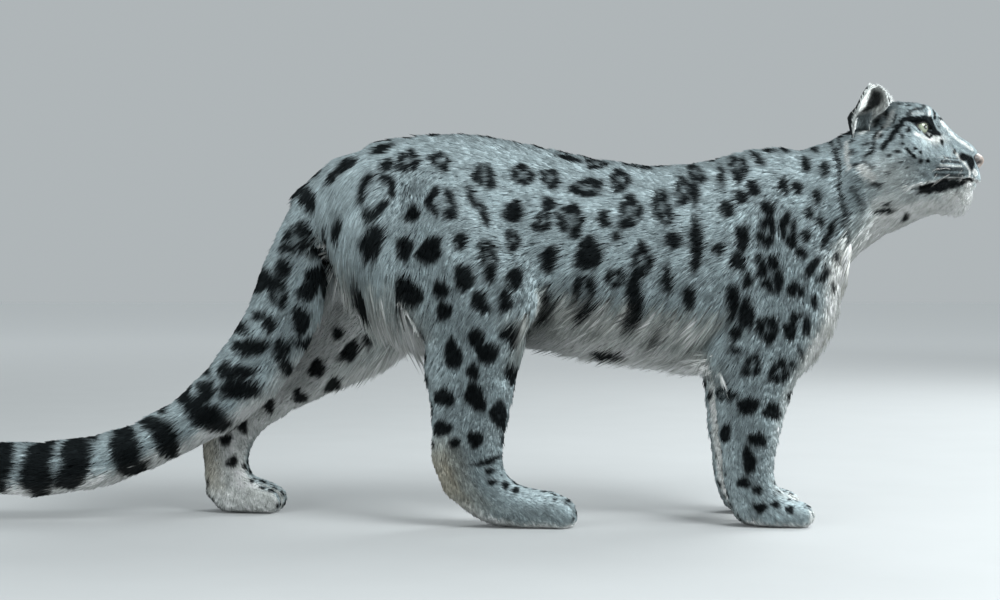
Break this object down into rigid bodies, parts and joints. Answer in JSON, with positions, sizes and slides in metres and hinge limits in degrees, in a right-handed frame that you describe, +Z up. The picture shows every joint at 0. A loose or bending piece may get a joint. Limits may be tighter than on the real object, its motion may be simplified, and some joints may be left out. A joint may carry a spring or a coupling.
{
  "type": "snow leopard, standing, life-size still model",
  "caption": "Still life-size snow leopard standing mid-step with its head turned a little and its long tail trailing behind; rests on the flat soles of its paws.",
  "frame": {"origin": "at floor level under the middle of the animal's bounding box", "axes": "+X the way the animal faces, +Y its left side, +Z up; the soles lie at Z = 0"},
  "size_m": [1.7344, 0.3, 0.6936],
  "materials": {
    "coat": "dense soft fur, pale grey with near-black rosettes, white below",
    "eyes": "clear wet gloss over a grey-green iris",
    "nose": "bare damp dark skin, finely pebbled",
    "whiskers": "stiff pale hair"
  },
  "bodies": {
    "root": {"head": "coat", "neck": "coat", "trunk": "coat", "tail_1": "coat", "tail_2": "coat", "tail_3": "coat", "tail_4": "coat", "tail_5": "coat", "fore_leg_upper_right": "coat", "fore_leg_lower_right": "coat", "fore_paw_right": "coat", "fore_leg_upper_left": "coat", "fore_leg_lower_left": "coat", "fore_paw_left": "coat", "hind_leg_upper_right": "coat", "hind_leg_lower_right": "coat", "hind_paw_right": "coat", "hind_leg_upper_left": "coat", "hind_leg_lower_left": "coat", "hind_paw_left": "coat", "ear_right": "coat", "ear_left": "coat", "eye_right": "eyes", "eye_left": "eyes", "nose": "nose"}
  },
  "joints": []
}
